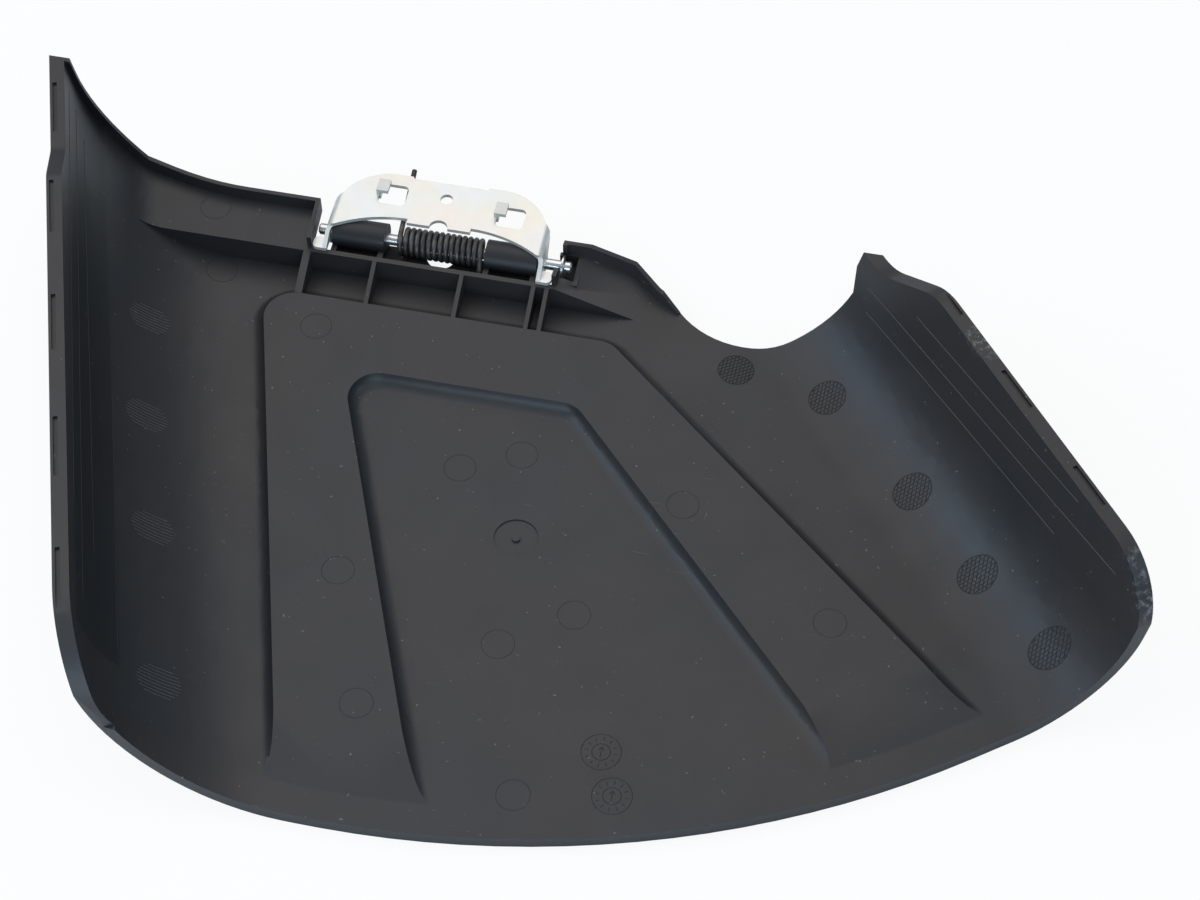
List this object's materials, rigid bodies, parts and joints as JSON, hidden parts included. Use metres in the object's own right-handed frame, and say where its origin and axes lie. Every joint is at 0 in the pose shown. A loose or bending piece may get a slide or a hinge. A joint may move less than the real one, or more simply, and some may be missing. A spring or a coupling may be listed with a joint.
{
  "type": "mower discharge deflector",
  "caption": "Moulded side-discharge deflector chute with flanged walls, on a steel hinge bracket with pin, torsion spring and push nut.",
  "frame": {"origin": "centre of the bracket's bolt hole, on its mounting face", "axes": "+X along the hinge pin, -Y towards the lip, +Z out of the mounting face and into the chute's inside"},
  "size_m": [0.6285, 0.3961, 0.1021],
  "materials": {
    "black_plastic": "fine moulded grain, slight sheen",
    "zinc_plate": "bright zinc plating with faint yellow tints",
    "zinc_pin": "bright zinc plating",
    "spring_steel": "dark oiled spring steel"
  },
  "bodies": {
    "chute": {"deflector_chute": "black_plastic", "hinge_pin": "zinc_pin", "push_nut": "zinc_pin", "torsion_spring": "spring_steel"},
    "bracket": {"hinge_bracket": "zinc_plate"}
  },
  "joints": [
    {"name": "bracket_hinge", "type": "hinge", "parent": "chute", "child": "bracket", "pos_m": [0, -0.0255, -0.01105], "axis": [-1, 0, 0], "range_deg": [0, 100], "stiffness_Nm_per_rad": 1.2, "springref_deg": -51.57, "deforming": ["torsion_spring"]}
  ]
}
